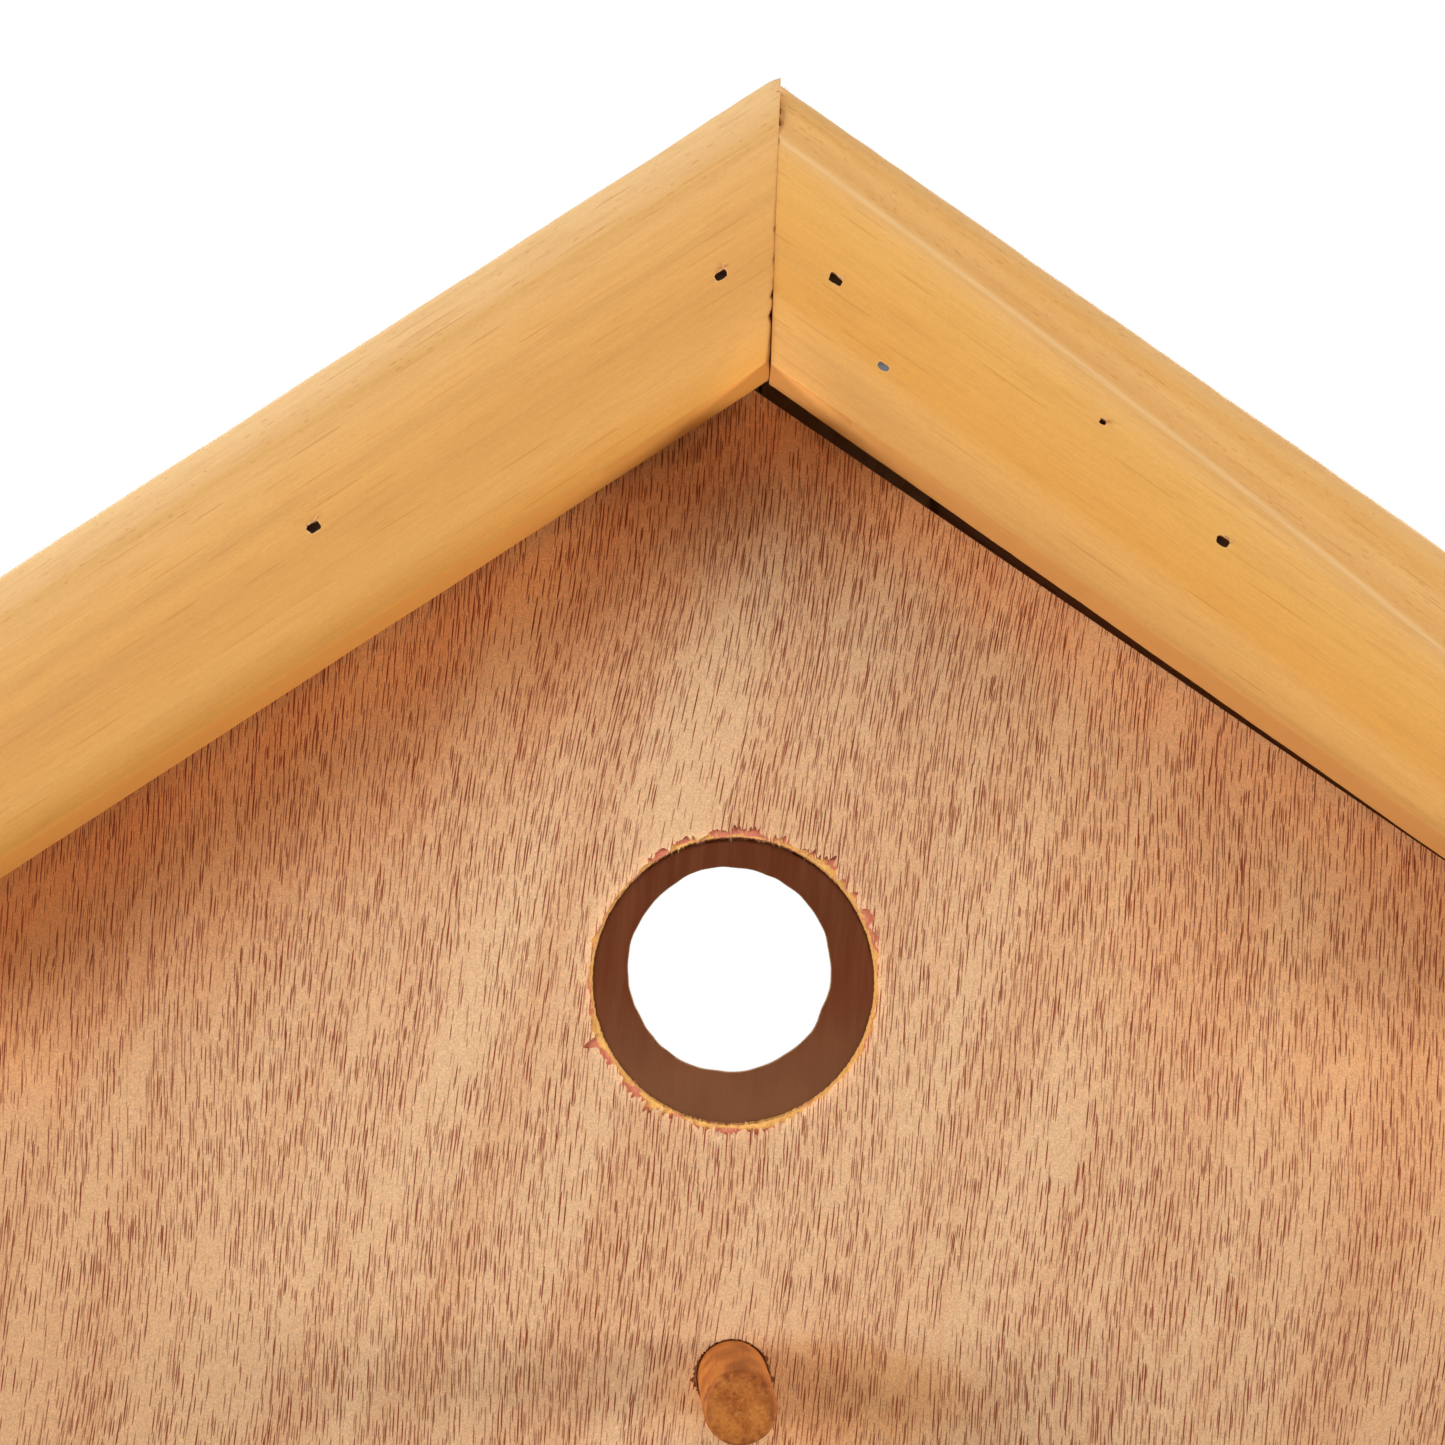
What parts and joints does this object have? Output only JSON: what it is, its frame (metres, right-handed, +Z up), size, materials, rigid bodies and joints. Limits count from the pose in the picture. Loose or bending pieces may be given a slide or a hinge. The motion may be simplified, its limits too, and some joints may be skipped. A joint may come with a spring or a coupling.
{
  "type": "birdhouse",
  "caption": "Gabled wooden nest box: round entrance over a dowel perch, overhanging roof with mitred barge trims, and a side door that swings out under a turn button.",
  "frame": {"origin": "middle of the floor board's underside, on the surface the house stands on", "axes": "+Z up; -Y is the way out of the entrance; +X is towards the swing-out door, on the right of someone facing the entrance"},
  "size_m": [0.2362, 0.1723, 0.2198],
  "materials": {
    "veneer": "bare open-pored tropical veneer, matt",
    "trim_wood": "planed softwood with a clear honey-coloured finish, low sheen",
    "board_wood": "sawn and lightly planed softwood, matt",
    "dowel_wood": "stained hardwood dowel, matt",
    "steel": "dull zinc-plated steel"
  },
  "bodies": {
    "house": {"back_left_cleat": "board_wood", "back_left_trim": "trim_wood", "back_left_trim_brad_1": "steel", "back_left_trim_brad_2": "steel", "back_left_trim_brad_3": "steel", "back_panel": "veneer", "back_panel_brad_1": "steel", "back_panel_brad_2": "steel", "back_panel_brad_3": "steel", "back_panel_brad_4": "steel", "back_panel_brad_5": "steel", "back_panel_brad_6": "steel", "back_panel_brad_7": "steel", "back_pivot_nail": "steel", "back_right_cleat": "board_wood", "back_right_stop": "board_wood", "back_right_trim": "trim_wood", "back_right_trim_brad_1": "steel", "back_right_trim_brad_2": "steel", "back_right_trim_brad_3": "steel", "floor_board": "board_wood", "front_left_cleat": "board_wood", "front_left_trim": "trim_wood", "front_left_trim_brad_1": "steel", "front_left_trim_brad_2": "steel", "front_left_trim_brad_3": "steel", "front_panel": "veneer", "front_panel_brad_1": "steel", "front_panel_brad_2": "steel", "front_panel_brad_3": "steel", "front_panel_brad_4": "steel", "front_panel_brad_5": "steel", "front_panel_brad_6": "steel", "front_panel_brad_7": "steel", "front_pivot_nail": "steel", "front_right_cleat": "board_wood", "front_right_stop": "board_wood", "front_right_trim": "trim_wood", "front_right_trim_brad_1": "steel", "front_right_trim_brad_2": "steel", "front_right_trim_brad_3": "steel", "front_right_trim_brad_4": "steel", "front_right_trim_brad_5": "steel", "hanging_eye": "steel", "left_roof_board": "board_wood", "left_roof_brad_1": "steel", "left_roof_brad_2": "steel", "left_roof_brad_3": "steel", "left_wall": "board_wood", "perch": "dowel_wood", "right_roof_board": "board_wood", "right_roof_brad_1": "steel", "right_roof_brad_2": "steel", "right_roof_brad_3": "steel", "right_top_rail": "board_wood", "turn_button_screw": "steel"},
    "swing_door": {"swing_door": "board_wood"},
    "turn_button": {"turn_button": "trim_wood"}
  },
  "joints": [
    {"name": "door_swing", "type": "hinge", "parent": "house", "child": "swing_door", "pos_m": [0.087, 0, 0.092], "axis": [0, -1, 0], "range_deg": [0, 55]},
    {"name": "button_turn", "type": "hinge", "parent": "house", "child": "turn_button", "pos_m": [0.0933, 0, 0.006], "axis": [-1, 0, 0], "range_deg": [-90, 0]}
  ]
}
